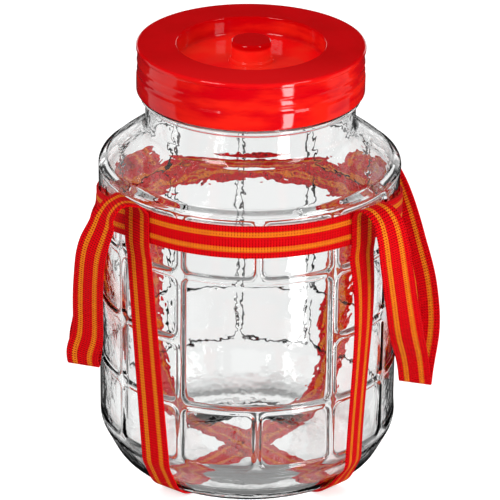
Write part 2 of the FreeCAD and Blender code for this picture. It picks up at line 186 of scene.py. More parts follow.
def outline(corners, arc_step=7.5, run_step=None):
    """Points (r, z) along an open outline whose corners (r, z, radius) are rounded."""
    points = [np.array(corners[0][:2], float)]

    def run_to(end):
        start = points[-1]
        length = np.linalg.norm(end - start)
        if length < 1e-7:
            return
        pieces = max(1, math.ceil(length / run_step)) if run_step else 1
        for k in range(1, pieces + 1):
            points.append(start + (end - start) * (k / pieces))

    for before, here, after in zip(corners, corners[1:], corners[2:]):
        corner = np.array(here[:2], float)
        radius = here[2]
        if radius <= 0:
            run_to(corner)
            continue
        a = np.array(before[:2], float) - corner
        b = np.array(after[:2], float) - corner
        a /= np.linalg.norm(a)
        b /= np.linalg.norm(b)
        half = math.acos(max(-1.0, min(1.0, float(a @ b)))) / 2
        reach = radius / math.tan(half)
        middle = corner + (a + b) / np.linalg.norm(a + b) * (radius / math.sin(half))
        run_to(corner + a * reach)
        first = points[-1] - middle
        turn = math.pi - 2 * half
        sense = math.copysign(1, float(-a[0] * b[1] + a[1] * b[0]))
        steps = max(2, math.ceil(math.degrees(turn) / arc_step))
        for k in range(1, steps + 1):
            angle = sense * turn * k / steps
            cos, sin = math.cos(angle), math.sin(angle)
            spoke = np.array([first[0] * cos - first[1] * sin, first[0] * sin + first[1] * cos])
            points.append(middle + spoke)
    run_to(np.array(corners[-1][:2], float))
    return np.array(points)


def cell_corners(grid):
    """The four corner values of each cell of a grid, in the order of its face's corners."""
    return np.stack([grid[:-1, :-1], grid[:-1, 1:], grid[1:, 1:], grid[1:, :-1]], axis=-1)


def grid_mesh(name, points, close_v=False, uv=None):
    """Smooth mesh over a grid of points [rows, columns, 3], whose rows are rings; uv is (u, v)."""
    rows, columns = points.shape[:2]
    index = np.arange(rows * columns).reshape(rows, columns)
    index = np.concatenate([index, index[:, :1]], axis=1)
    if close_v:
        index = np.concatenate([index, index[:1]], axis=0)
    quads = cell_corners(index).reshape(-1, 4)
    mesh = bpy.data.meshes.new(name)
    mesh.vertices.add(rows * columns)
    mesh.vertices.foreach_set("co", points.reshape(-1))
    mesh.loops.add(quads.size)
    mesh.loops.foreach_set("vertex_index", quads.reshape(-1))
    mesh.polygons.add(len(quads))
    mesh.polygons.foreach_set("loop_start", np.arange(0, quads.size, 4))
    mesh.polygons.foreach_set("loop_total", np.full(len(quads), 4))
    mesh.polygons.foreach_set("use_smooth", np.ones(len(quads), bool))
    mesh.update(calc_edges=True)
    if uv is not None:
        layer = mesh.uv_layers.new(name="webbing")
        shares, lengths = np.meshgrid(*uv)
        corners = [cell_corners(values).reshape(-1) for values in (shares, lengths)]
        layer.data.foreach_set("uv", np.stack(corners, axis=-1).reshape(-1))
    mesh.validate()
    piece = bpy.data.objects.new(name, mesh)
    bpy.context.scene.collection.objects.link(piece)
    return piece


def turned(name, profile, angles, shift):
    """Closed turned skin: profile rows (r, z) from axis to axis, angles in radians; shift moves r."""
    r = np.repeat(profile[:, :1], len(angles), axis=1)
    z = np.repeat(profile[:, 1:], len(angles), axis=1)
    theta = np.repeat(angles[None, :], len(profile), axis=0)
    r = r + shift(r, z, theta)
    points = np.stack([r * np.sin(theta), -r * np.cos(theta), z], axis=-1)
    piece = grid_mesh(name, points)
    merge_ends(piece)
    return piece


def merge_ends(piece):
    """Weld the rings of points that lie on the axis, and turn every face outwards."""
    work = bmesh.new()
    work.from_mesh(piece.data)
    bmesh.ops.remove_doubles(work, verts=work.verts, dist=1e-6)
    bmesh.ops.recalc_face_normals(work, faces=work.faces)
    work.to_mesh(piece.data)
    work.free()


def smooth(share):
    """Ease a share from 0 to 1, with level ends."""
    share = np.clip(share, 0, 1)
    return share * share * (3 - 2 * share)


# ---- glass jar -------------------------------------------------------------------------------------

def rib_spread(half_cell):
    """Distances from a rib's middle to the middle of a pane, close together near the rib."""
    near = np.array([0, 0.8, 1.5, 2.1, 2.7, 3.2, 3.7, 4.3, 5.1, 6.2, 7.6, 9.5, 12.5, 17, 23]) * MM
    near = near[near < half_cell - 2 * MM]
    return np.append(near, half_cell)


def rib_height(theta, z):
    """How far the surface stands out of the panes at (theta, z)."""
    step = 2 * math.pi / RIB_COUNT
    turn = math.radians(RIB_TURN)
    cell = BODY_R * step
    from_front = np.mod(theta - turn + math.pi, 2 * math.pi) - math.pi
    from_rib = np.abs(np.mod(theta - turn + step / 2, step) - step / 2) * BODY_R
    levels = [GLASS_Z + h for h in PANE_H] + [PANEL_Z1]
    # the large free pane at the front, two cells wide and two high
    label = (np.abs(from_front) < step) & (z > levels[0]) & (z < levels[2])
    from_rib = np.where(label, np.maximum(cell - np.abs(from_front) * BODY_R, 0), from_rib)
    from_rib = np.where(z > PANEL_Z1, cell, from_rib)
    from_level = np.full_like(z, FAR)
    for k, level in enumerate(levels):
        distance = np.abs(z - level)
        if k == 1:
            distance = np.where(label, FAR, distance)
        from_level = np.minimum(from_level, distance)
    from_level = np.minimum(from_level, z - PANEL_Z0 + RIB_W / 2)
    half = RIB_W / 2
    qx = half + PANE_ROUND - from_rib
    qz = half + PANE_ROUND - from_level
    corner = np.hypot(np.maximum(qx, 0), np.maximum(qz, 0))
    into = corner + np.minimum(np.maximum(qx, qz), 0) - PANE_ROUND
    into = np.minimum(into, half)
    bow = np.sqrt(np.maximum(RIB_CURVE ** 2 - (half - into) ** 2, 0)) - (RIB_CURVE - RIB_RISE)
    bow = np.where(into < -1 * MM, -RIB_RISE, bow)
    return np.clip(0.5 * (bow + np.sqrt(bow ** 2 + RIB_FILLET ** 2)), 0, RIB_RISE)


def shell_corners():
    """Outside of the body, panes' depth, from the base's middle to the neck."""
    return [(0, GLASS_Z, 0), (HEEL_CORNER_R - RIB_RISE, GLASS_Z, HEEL_ROUND - RIB_RISE),
            (BODY_R, GLASS_Z + HEEL_BEND_H, HEEL_TOP_ROUND),
            (BODY_R, GLASS_Z + SHOULDER_BEND_H, SHOULDER_ROUND),
            (NECK_R, GLASS_Z + NECK_FOOT_H, NECK_ROUND), (NECK_R, RIM_Z, 0)]


def glass_jar():
    """The jar as one closed skin: ribbed outside, slightly wavy inside."""
    punt_z = GLASS_Z + PUNT_H
    bead_z1 = LID_Z0 - CLEAR
    bead_z0 = bead_z1 - BEAD_T
    base = [(0, punt_z, 0), (PUNT_R, punt_z, PUNT_R / 2), (FOOT_IN_R, GLASS_Z, 3 * MM)]
    shell = shell_corners()
    corners = base + shell[1:-1]
    corners += [(NECK_R, bead_z0, 1 * MM), (BEAD_R, bead_z0 + BEAD_T * 0.35, 1.8 * MM),
                (BEAD_R, bead_z1 - BEAD_T * 0.2, 1.2 * MM), (FINISH_R, bead_z1, 0.5 * MM),
                (FINISH_R, RIM_Z, RIM_ROUND)]
    inner_z = GLASS_Z + BASE_T
    inside = [(0, inner_z + PUNT_H / 2, 0), (PUNT_R, inner_z + PUNT_H / 2, PUNT_R / 2),
              (FOOT_IN_R, inner_z, 5 * MM)]
    inside += inset(shell, [BASE_T] + [WALL] * (len(shell) - 2))
    inside += [(NECK_R - WALL, RIM_Z, RIM_ROUND)]
    outer = outline(corners + [(FINISH_R - RIM_FLAT, RIM_Z, 0)], run_step=OUTER_RUN)
    inner = outline(inside + [(NECK_R - WALL + 1.5 * MM, RIM_Z, 0)], run_step=INNER_RUN)[::-1]

    # rows close together where level ribs cross the upright part of the body
    levels = [PANEL_Z0 - RIB_W / 2] + [GLASS_Z + h for h in PANE_H] + [PANEL_Z1]
    rows = []
    for low, high in zip(levels, levels[1:]):
        spread = rib_spread((high - low) / 2)
        rows += list(low + spread[:-1]) + list(high - spread[::-1][:-1]) + [low + spread[-1]]
    above_rib = rib_spread(12 * MM)
    rows += list(PANEL_Z1 + above_rib[above_rib < ROWS_ABOVE])
    rows = np.unique(np.round(rows, 6))
    r, z = outer.T
    first = int(np.argmax((np.abs(r - BODY_R) < 1e-6) & (z >= rows[0]) & (z <= rows[-1])))
    below = outer[:first]
    above = outer[first:][z[first:] > rows[-1] + 1e-6]
    wall = np.stack([np.full(len(rows), BODY_R), rows], axis=-1)
    outer_rows = len(below) + len(rows) + len(above)
    profile = np.concatenate([below, wall, above, inner])

    step = 2 * math.pi / RIB_COUNT
    spread = rib_spread(BODY_R * step / 2) / BODY_R
    cell = np.unique(np.round(np.concatenate([spread, -spread[1:-1]]), 9))
    angles = np.concatenate([math.radians(RIB_TURN) + k * step + cell for k in range(RIB_COUNT)])

    def shift(r, z, theta):
        """Ribs on the outside; on the inside, slow waves and a trace of the ribs."""
        outside = (np.arange(len(profile)) < outer_rows)[:, None]
        on_body = outside & (r > FOOT_IN_R) & (z < GLASS_Z + SHOULDER_BEND_H + 6 * MM)
        heel = smooth((r - FOOT_IN_R) / (HEEL_CORNER_R - FOOT_IN_R))
        ribs = np.where(on_body, rib_height(theta, z) * heel, 0)
        inward = (~outside) & (r > 60 * MM)
        fade = smooth((z - HEEL_Z) / (30 * MM)) * (1 - smooth((z - GLASS_Z - SHOULDER_BEND_H) / (25 * MM)))
        waves = (0.10 * np.sin(5 * theta + 38 * z) + 0.08 * np.sin(11 * theta - 61 * z + 1.3)
                 + 0.05 * np.sin(3 * theta + 150 * z + 0.4) + 0.04 * np.sin(17 * theta + 90 * z)) * MM
        bulge = BULGE * rib_height(theta, z)
        return ribs + np.where(inward, (waves + bulge) * fade, 0)

    return turned("glass_jar_skin", profile, angles, shift)


# ---- lid -------------------------------------------------------------------------------------------

def lid():
    """The lid as one closed skin, from the knob's top round the skirt to the underside."""
    floor_z = LID_Z1 - RECESS_DEPTH
    knob_z = LID_Z1 + KNOB_STAND
    step_z = LID_Z0 + LID_BAND
    lip_z = LID_Z1 - LID_LIP
    inner_r = LID_UPPER_R - LID_WALL
    corners = [
        (0, knob_z, 0),
        (KNOB_R, knob_z, 1.4 * MM),
        (KNOB_R + DRAFT, floor_z + KNOB_FOOT_H, 0.8 * MM),
        (KNOB_FOOT_R, floor_z + KNOB_FOOT_H - 0.6 * MM, 0.8 * MM),
        (KNOB_FOOT_R + DRAFT, floor_z, 1 * MM),
        (RECESS_R - RECESS_DRAFT, floor_z, 3 * MM),
        (RECESS_R, LID_Z1, 0.9 * MM),
        (LID_R, LID_Z1, 1.8 * MM),
        (LID_R, lip_z, 0.7 * MM),
        (LID_UPPER_R, lip_z - LID_STEP, 0.4 * MM),
    ]
    for height in reversed(LID_RINGS):
        ring_z = LID_Z0 + height
        corners += [(LID_UPPER_R, ring_z + LID_RING_HALF, 1 * MM),
                    (LID_UPPER_R + LID_RING_RISE, ring_z, 1 * MM),
                    (LID_UPPER_R, ring_z - LID_RING_HALF, 1 * MM)]
    corners += [
        (LID_UPPER_R, step_z + LID_STEP, 0.5 * MM),
        (LID_R, step_z - LID_STEP, 0.6 * MM),
        (LID_R, LID_Z0, 2 * MM),
        (inner_r, LID_Z0, 0.4 * MM),
        (inner_r, LID_Z1 - LID_WALL, 1 * MM),
        (RECESS_R + LID_WALL, LID_Z1 - LID_WALL, 1 * MM),
        (RECESS_R + LID_WALL - RECESS_DRAFT, floor_z - LID_WALL, 3 * MM),
        (0, floor_z - LID_WALL, 0),
    ]
    profile = outline(corners, arc_step=12, run_step=3 * MM)
    angles = np.linspace(0, 2 * math.pi, LID_SEGMENTS, endpoint=False)

    def shift(r, z, theta):
        """Slight unevenness of the moulded skirt."""
        skirt = smooth((r - 78 * MM) / (3 * MM)) * smooth((LID_Z1 - 1 * MM - z) / (5 * MM))
        return skirt * MM * (-0.06 + 0.05 * np.sin(9 * theta + 260 * z) * np.sin(4 * theta + 1)
                             + 0.03 * np.sin(23 * theta - 310 * z))

    return turned("lid_skin", profile, angles, shift)


# ---- webbing ---------------------------------------------------------------------------------------

def azimuth_vector(degrees):
    """Level direction at an azimuth."""
    angle = np.radians(degrees)
    return np.stack([np.sin(angle), -np.cos(angle), np.zeros_like(angle)], axis=-1)


def across_vector(degrees):
    """Level direction at right angles to an azimuth."""
    angle = np.radians(degrees)
    return np.stack([np.cos(angle), np.sin(angle), np.zeros_like(angle)], axis=-1)


def spline(marks, values, at):
    """Natural cubic spline through values [n, k] at marks."""
    n = len(marks)
    h = np.diff(marks)
    system = np.zeros((n, n))
    right = np.zeros((n, values.shape[1]))
    system[0, 0] = system[-1, -1] = 1
    for i in range(1, n - 1):
        system[i, i - 1:i + 2] = h[i - 1], 2 * (h[i - 1] + h[i]), h[i]
        right[i] = 6 * ((values[i + 1] - values[i]) / h[i] - (values[i] - values[i - 1]) / h[i - 1])
    bend = np.linalg.solve(system, right)
    k = np.clip(np.searchsorted(marks, at, side="right") - 1, 0, n - 2)
    a = ((marks[k + 1] - at) / h[k])[:, None]
    b = 1 - a
    curved = ((a ** 3 - a) * bend[k] + (b ** 3 - b) * bend[k + 1]) * (h[k] ** 2 / 6)[:, None]
    return a * values[k] + b * values[k + 1] + curved


def unit(vectors):
    return vectors / np.linalg.norm(vectors, axis=-1, keepdims=True)


def webbing(name, centres, across, closed=False):
    """Woven strip with rounded edges through centres [n, 3], with its width along across [n, 3]."""
    if closed:
        along = unit(np.roll(centres, -1, axis=0) - np.roll(centres, 1, axis=0))
    else:
        along = unit(np.gradient(centres, axis=0))
    side = unit(across - along * np.sum(across * along, axis=-1, keepdims=True))
    face = np.cross(along, side)
    half_w = STRAP_W / 2
    half_t = STRAP_T / 2
    edge = [math.pi / 2 - k * math.pi / 4 for k in range(1, 4)]
    lanes = [(STRAP_W - STRAP_T) * k / FLAT_LANES for k in range(FLAT_LANES + 1)]
    section = [(-half_w + half_t + lane, half_t) for lane in lanes]
    section += [(half_w - half_t + half_t * math.cos(a), half_t * math.sin(a)) for a in edge]
    section += [(half_w - half_t - lane, -half_t) for lane in lanes]
    section += [(-half_w + half_t - half_t * math.cos(a), -half_t * math.sin(a)) for a in edge]
    section.append(section[0])
    section = np.array(section)
    points = (centres[:, None, :] + side[:, None, :] * section[None, :, :1]
              + face[:, None, :] * section[None, :, 1:])
    ring = np.roll(centres, -1, axis=0) if closed else centres[1:]
    steps = np.linalg.norm(ring - centres[:len(ring)], axis=-1)
    lengths = np.concatenate([[0], np.cumsum(steps)])
    shares = section[:, 0] / STRAP_W + 0.5
    piece = grid_mesh(name, points[:, :-1], close_v=closed, uv=(shares, lengths))
    if not closed:
        cap_ends(piece, len(centres), len(section) - 1)
    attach(piece, "root")
    return piece


def cap_ends(piece, rows, columns):
    """Close both cut ends of a strip."""
    work = bmesh.new()
    work.from_mesh(piece.data)
    work.verts.ensure_lookup_table()
    layer = work.loops.layers.uv.active
    for row in (0, rows - 1):
        ring = [work.verts[row * columns + k] for k in range(columns)]
        cap = work.faces.new(ring if row == 0 else ring[::-1])
        for loop in cap.loops:
            loop[layer].uv = loop.link_loop_radial_next[layer].uv
    bmesh.ops.recalc_face_normals(work, faces=work.faces)
    work.to_mesh(piece.data)
    work.free()


def band_height(y):
    """Height of the waist band's middle at y."""
    share = np.clip((y + BAND_BEND_Y) / (2 * BAND_BEND_Y), 0, 1)
    return BAND_FRONT_Z - BAND_DROP * share


def waist_band():
    """Level at the front, sloping down the sides, level and lower at the back."""
    azimuths = np.linspace(-180, 180, BAND_STEPS, endpoint=False)
    flat = azimuth_vector(azimuths) * BAND_MID_R
    offsets = range(-BAND_SPREAD, BAND_SPREAD + 1, 2)
    heights = np.stack([band_height(flat[:, 1] + offset * MM) for offset in offsets]).mean(axis=0)
    centres = flat + np.array([0, 0, 1]) * heights[:, None]
    across = np.repeat([[0.0, 0.0, -1.0]], len(azimuths), axis=0)
    piece = webbing("waist_band_webbing", centres, across, closed=True)
    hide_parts("waist_band")
    return piece


def sling_outline(top_z):
    """Corners (r, z, radius) of a sling's middle, from under the jar to its top over the band."""
    offset = CLEAR + STRAP_T / 2
    glass = [(0, GLASS_Z, 0), (HEEL_CORNER_R, GLASS_Z, HEEL_ROUND),
             (CREST_R, GLASS_Z + HEEL_BEND_H, HEEL_TOP_ROUND), (CREST_R, top_z, 0)]
    over_band_z = top_z + JOIN_BELOW - STRAP_W
    corners = [(0, STRAP_T / 2, 0)] + inset(glass, [-offset] * 3)
    corners += [(BAND_MID_R, over_band_z - OVER_BAND[0], OVER_BAND_ROUND),
                (STRAP_R, over_band_z - OVER_BAND[1], OVER_BAND_ROUND)]
    return corners + [(STRAP_R, top_z, 0)]


def sling_half(band_az, heel_az, top_z, twist, bow, rise):
    """Centres and across directions of a strap from under the jar's middle up to the band."""
    straight_z = top_z - STRAP_W
    points = outline(sling_outline(top_z), arc_step=3, run_step=2.5 * MM)
    r = points[:, 0]
    z = points[:, 1]
    up = np.clip((z - HEEL_Z) / (straight_z - HEEL_Z), 0, 1)
    az = heel_az + (band_az - heel_az) * up + bow * np.sin(math.pi * up * up)
    turn = twist * smooth((z - GLASS_Z) / HEEL_H) * (1 - up * up)
    lift = np.abs(np.sin(np.radians(turn))) * STRAP_W / 2
    flat_r = STRAP_W * 0.8
    centres = azimuth_vector(az) * (r + lift)[:, None]
    centres[:, 2] = z + rise * (1 - smooth((r - flat_r) / (SLING_CROSS_R - flat_r)))
    return centres, across_vector(az + turn)


def sling(name, node, front, back, rise):
    """Strap from the band's front, under the jar, to its back; rise lifts it where it crosses."""
    front_centres, front_across = sling_half(*front, rise)
    back_centres, back_across = sling_half(*back, rise)
    centres = np.concatenate([front_centres[::-1], back_centres[1:]])
    across = np.concatenate([front_across[::-1], -back_across[1:]])
    piece = webbing(name, centres, across)
    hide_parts(node)
    return piece


def strap_top(azimuth, z, face):
    """Station on a strap's run above the band, in millimetres, with the face's azimuth."""
    x, y, _ = azimuth_vector(np.float64(azimuth)) * STRAP_R / MM
    return (x, y, z / MM, face)


def fold_stations(x, y, z, face):
    """Down the front of a flat fold, round its bottom and up its back, in millimetres."""
    out = azimuth_vector(np.float64(face)) * FOLD_GAP / MM
    high = z + FOLD_RISE / MM
    return [(x + out[0], y + out[1], high, face), (x, y, z, face),
            (x - out[0], y - out[1], high, face)]


def left_stations():
    """Left handle, from the front strap to the back one: x, y, z in millimetres, the face's azimuth."""
    front = [
        strap_top(LEFT_BAND_AZ, JOIN_FRONT_Z, -45),
        strap_top(LEFT_BAND_AZ, JOIN_FRONT_Z + 7 * MM, -46),
        (-84.5, -85.0, 242.5, -56),
        (-93.0, -91.0, 246.0, -76),
        (-101.5, -93.5, 239.5, -64),
        (-106.0, -94.0, 228.0, -44),
        (-112.5, -92.5, 210.0, -34),
        (-116.0, -86.0, 188.0, -33),
        (-118.2, -66.0, 143.7, -28),
        (-120.3, -55.3, 117.0, -22),
    ]
    back = [
        (-121.3, -39.0, 110.0, 10),
        (-121.0, -32.0, 131.0, 46),
        (-120.5, -14.0, 149.0, 70),
        (-118.5, 14.0, 163.0, 79),
        (-114.0, 44.0, 173.0, 74),
        (-108.0, 68.0, 181.0, 62),
        (-102.5, 85.0, 190.0, 52),
        (-98.5, 92.5, 200.0, 47),
        (-93.0, 93.0, 207.5, 46),
        (-87.5, 88.5, 208.5, 45),
        strap_top(BACK_LEFT_AZ, JOIN_BACK_Z + 8 * MM, 45),
        strap_top(BACK_LEFT_AZ, JOIN_BACK_Z, 45),
    ]
    return front + fold_stations(-122.7, -45.0, 92.3, -18) + back


def right_stations():
    """Right handle, in the same way."""
    front = [
        strap_top(RIGHT_BAND_AZ, JOIN_FRONT_Z, 46),
        strap_top(RIGHT_BAND_AZ, JOIN_FRONT_Z + 6 * MM, 46),
        (89.5, -87.5, 241.5, 45),
        (97.5, -94.5, 237.0, 40),
        (102.0, -97.0, 226.0, 34),
        (106.0, -94.0, 204.0, 28),
        (111.5, -79.0, 166.0, 26),
        (119.0, -50.0, 118.0, 4),
    ]
    back = [
        (133.3, 3.0, 96.0, -22),
        (133.0, 30.0, 124.0, -34),
        (125.5, 56.0, 152.0, -42),
        (115.3, 79.0, 182.0, -46),
        (105.8, 90.0, 200.0, -46),
        (98.0, 93.0, 208.5, -46),
        (87.5, 87.0, 206.5, -45),
        strap_top(BACK_RIGHT_AZ, JOIN_BACK_Z + 6 * MM, -45),
        strap_top(BACK_RIGHT_AZ, JOIN_BACK_Z, -45),
    ]
    return front + fold_stations(127.5, -18.0, 67.0, -16) + back


def handle(name, node, stations):
    """Carrying loop on a smooth line through its stations."""
    values = np.array(stations)
    points = values[:, :3] * MM
    marks = np.concatenate([[0], np.cumsum(np.linalg.norm(np.diff(points, axis=0), axis=-1))])
    at = np.linspace(0, marks[-1], int(marks[-1] / HANDLE_RUN))
    centres = spline(marks, points, at)
    k = np.clip(np.searchsorted(marks, at, side="right") - 1, 0, len(marks) - 2)
    share = smooth((at - marks[k]) / (marks[k + 1] - marks[k]))
    faces = values[k, 3] + (values[k + 1, 3] - values[k, 3]) * share
    piece = webbing(name, centres, across_vector(faces))
    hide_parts(node)
    return piece


# ---- materials -------------------------------------------------------------------------------------

GLASS_TINT = (0.985, 0.99, 0.988, 1)
GLASS_WAVE = 0.6 * MM
LID_WAVE = 0.4 * MM
WEAVE_DEPTH = 0.5 * MM
WEAVE_SHARE = 0.6             # of the webbing's relief; its ribs are the rest
CLOUD_SCALE = (1, 1, 3.5)     # flattens the plastic's clouds
# pairs: the plastic's darker and lighter clouds, and the webbing's sunk threads, in painted shade, and
# raised threads
# painted shade: the lid's flat tops are coloured darker than the skirt
LID_TOP_PAINTED_SHADE = (0.56, 0.0, 0.001, 1), (0.64, 0.0, 0.002, 1)
# painted light: the tops' front, where more light falls, is coloured lighter
LID_TOP_FRONT_PAINTED_LIGHT = (0.76, 0.004, 0.006, 1)
LID_SKIRT = (0.60, 0.0, 0.004, 1), (0.84, 0.014, 0.006, 1)
# painted shade: the skirt's left side, away from the light, is coloured darker
LID_SKIRT_LEFT_PAINTED_SHADE = (0.40, 0.0, 0.003, 1)
# painted light: the recess is coloured brighter, for light that gathers in the plastic there
LID_RECESS_PAINTED_LIGHT = (1.0, 0.004, 0.006, 1), (1.0, 0.028, 0.014, 1)
# the first colour of each thread pair is painted shade in the weave's hollows
RED_THREAD_AND_HOLLOW_SHADE = (0.17, 0.0, 0.001, 1), (0.74, 0.001, 0.004, 1)
ORANGE_THREAD_AND_HOLLOW_SHADE = (0.26, 0.008, 0.001, 1), (0.84, 0.22, 0.010, 1)
FRAY = (0.26, 0.0, 0.004, 1)


class Nodes:
    """Short ways to add and join shader nodes in a tree."""

    def __init__(self, tree):
        self.tree = tree
        tree.nodes.clear()

    def link(self, source, target):
        self.tree.links.new(source, target)

    def add(self, kind, **settings):
        node = self.tree.nodes.new(kind)
        for key, value in settings.items():
            setattr(node, key, value)
        return node

    def feed(self, sockets, values):
        """Link or write each value to its socket."""
        for socket, value in zip(sockets, values):
            if isinstance(value, bpy.types.NodeSocket):
                self.link(value, socket)
            else:
                socket.default_value = value

    def math(self, operation, *values):
        node = self.add("ShaderNodeMath", operation=operation)
        self.feed(node.inputs, values)
        return node.outputs[0]

    def times(self, a, b):
        return self.math("MULTIPLY", a, b)

    def plus(self, a, b):
        return self.math("ADD", a, b)

    def less(self, a, b):
        return self.math("SUBTRACT", a, b)

    def ramp(self, value, start, end, top=1.0):
        """Smooth step from 0 where value is start to top where it is end."""
        node = self.add("ShaderNodeMapRange", interpolation_type="SMOOTHSTEP")
        self.feed(node.inputs, (value, start, end, 0.0, top))
        return node.outputs[0]

    def band(self, value, rise, fall):
        """1 between two soft edges, each given as the values at which it is 0 and 1."""
        return self.times(self.ramp(value, *rise), self.ramp(value, *fall))

    def mix(self, share, a, b):
        """Colour from a at share 0 to b at share 1."""
        node = self.add("ShaderNodeMix", data_type="RGBA")
        self.feed((node.inputs[0], node.inputs[6], node.inputs[7]), (share, a, b))
        return node.outputs[2]

    def noise(self, place, scale, detail):
        node = self.add("ShaderNodeTexNoise")
        sockets = node.inputs["Vector"], node.inputs["Scale"], node.inputs["Detail"]
        self.feed(sockets, (place, scale, detail))
        return node.outputs[0]

    def parts(self, vector):
        """The x, y and z of a vector."""
        node = self.add("ShaderNodeSeparateXYZ")
        self.link(vector, node.inputs[0])
        return tuple(node.outputs)


class Surface(Nodes):
    """A material with one Principled shader."""

    def __init__(self, name):
        self.material = bpy.data.materials.new(name)
        self.material.use_nodes = True
        super().__init__(self.material.node_tree)
        self.shader = self.add("ShaderNodeBsdfPrincipled")
        self.link(self.shader.outputs[0], self.add("ShaderNodeOutputMaterial").inputs["Surface"])

    def set(self, **values):
        """Give the shader's inputs, by name with _ for a space, a value or a link each."""
        for key, value in values.items():
            self.feed([self.shader.inputs[key.replace("_", " ")]], [value])

    def bump(self, height, distance, strength):
        node = self.add("ShaderNodeBump")
        sockets = node.inputs["Height"], node.inputs["Distance"], node.inputs["Strength"]
        self.feed(sockets, (height, distance, strength))
        self.link(node.outputs[0], self.shader.inputs["Normal"])

    def place(self):
        """Coordinates on the object, in metres."""
        return self.add("ShaderNodeTexCoord").outputs["Object"]


def glass_material():
    """Clear glass with slow waves and fine ones, and here and there a slightly dull speck."""
    nodes = Surface("clear_glass")
    place = nodes.place()
    dull = nodes.ramp(nodes.noise(place, scale=35, detail=2), 0.4, 0.75, top=0.012)
    nodes.set(Base_Color=GLASS_TINT, Transmission_Weight=1.0, IOR=1.5, Roughness=dull)
    slow = nodes.noise(place, scale=18, detail=1)
    fine = nodes.times(nodes.noise(place, scale=75, detail=2), 0.5)
    nodes.bump(nodes.plus(slow, fine), GLASS_WAVE, strength=0.8)
    return nodes.material


def lid_material():
    """Translucent red, with light and shade painted into the colour: the recess is painted lighter than
    the skirt, the flat tops are painted in shade, lighter towards the front, and the skirt's left side is
    painted in shade.
    """
    nodes = Surface("red_plastic")
    place = nodes.place()
    x, y, z = nodes.parts(place)
    radius = nodes.math("SQRT", nodes.plus(nodes.times(x, x), nodes.times(y, y)))
    stretched = nodes.add("ShaderNodeMapping")
    nodes.feed((stretched.inputs["Vector"], stretched.inputs["Scale"]), (place, CLOUD_SCALE))
    cloud = nodes.ramp(nodes.noise(stretched.outputs[0], scale=26, detail=4), 0.36, 0.66)

    # painted shade on the flat tops
    top = nodes.mix(cloud, *LID_TOP_PAINTED_SHADE)
    # painted light towards the front of the tops
    top = nodes.mix(nodes.ramp(y, -20 * MM, -LID_R), top, LID_TOP_FRONT_PAINTED_LIGHT)
    skirt = nodes.mix(cloud, *LID_SKIRT)
    # painted shade on the skirt's left side
    skirt = nodes.mix(nodes.ramp(x, 0.0, -LID_R, top=0.6), skirt, LID_SKIRT_LEFT_PAINTED_SHADE)
    # painted light: the recess takes a brighter red than the skirt
    recess_light_mask = nodes.ramp(radius, RECESS_R, RECESS_R - 4 * MM)
    below_top = nodes.ramp(z, LID_Z1 - 0.5 * MM, LID_Z1 - 3 * MM)
    colour = nodes.mix(below_top, top, nodes.mix(recess_light_mask, skirt, nodes.mix(cloud, *LID_RECESS_PAINTED_LIGHT)))
    nodes.set(Base_Color=colour, Roughness=0.07, IOR=1.5)
    nodes.bump(nodes.noise(place, scale=70, detail=2), LID_WAVE, strength=0.12)
    return nodes.material


def webbing_material():
    """Red webbing with two orange stripes; the weave is a checker of raised threads over ribs, and the
    sunk threads are painted in shade.
    """
    nodes = Surface("striped_webbing")
    u, v, _ = nodes.parts(nodes.add("ShaderNodeUVMap", uv_map="webbing").outputs[0])
    turns = 2 * math.pi / WEAVE
    along = nodes.math("SINE", nodes.times(v, turns))
    over = nodes.math("SINE", nodes.times(u, turns * STRAP_W))
    weave = nodes.math("MULTIPLY_ADD", nodes.times(along, over), 0.5, 0.5)
    rib = nodes.math("MULTIPLY_ADD", along, 0.5, 0.5)
    height = nodes.plus(nodes.times(weave, WEAVE_SHARE), nodes.times(rib, 1 - WEAVE_SHARE))

    jagged = nodes.math("MULTIPLY_ADD", along, STRIPE_JAG, u)
    stripe = 0.0
    for low, high in STRIPES:
        rise = low - STRIPE_SOFT, low + STRIPE_SOFT
        fall = high + STRIPE_SOFT, high - STRIPE_SOFT
        inside = nodes.band(jagged, rise, fall)
        stripe = nodes.math("MAXIMUM", inside, stripe)
    # painted shade: the lower the weave, the darker its colour
    hollow_shade_mix = nodes.ramp(height, 0.25, 0.6)
    colour = nodes.mix(stripe, nodes.mix(hollow_shade_mix, *RED_THREAD_AND_HOLLOW_SHADE), nodes.mix(hollow_shade_mix, *ORANGE_THREAD_AND_HOLLOW_SHADE))
    fray = nodes.ramp(nodes.noise(nodes.place(), scale=260, detail=2), 0.35, 0.75, top=0.16)
    nodes.set(Base_Color=nodes.mix(fray, colour, FRAY), Roughness=0.7, IOR=1.5, Specular_IOR_Level=0.04)
    nodes.bump(height, WEAVE_DEPTH, strength=1.0)
    return nodes.material


def paint(piece, material):
    piece.data.materials.clear()
    piece.data.materials.append(material)


# ---- studio ----------------------------------------------------------------------------------------

CAMERA_PLACE = Vector((0.79 * MM, -2270.8 * MM, 1188.9 * MM))
CAMERA_AIM = Vector((0.79 * MM, 0, 167.37 * MM))
CAMERA_ROLL = 0.65            # degrees
CAMERA_LENS = 238.2           # millimetres, on a sensor 36 mm wide

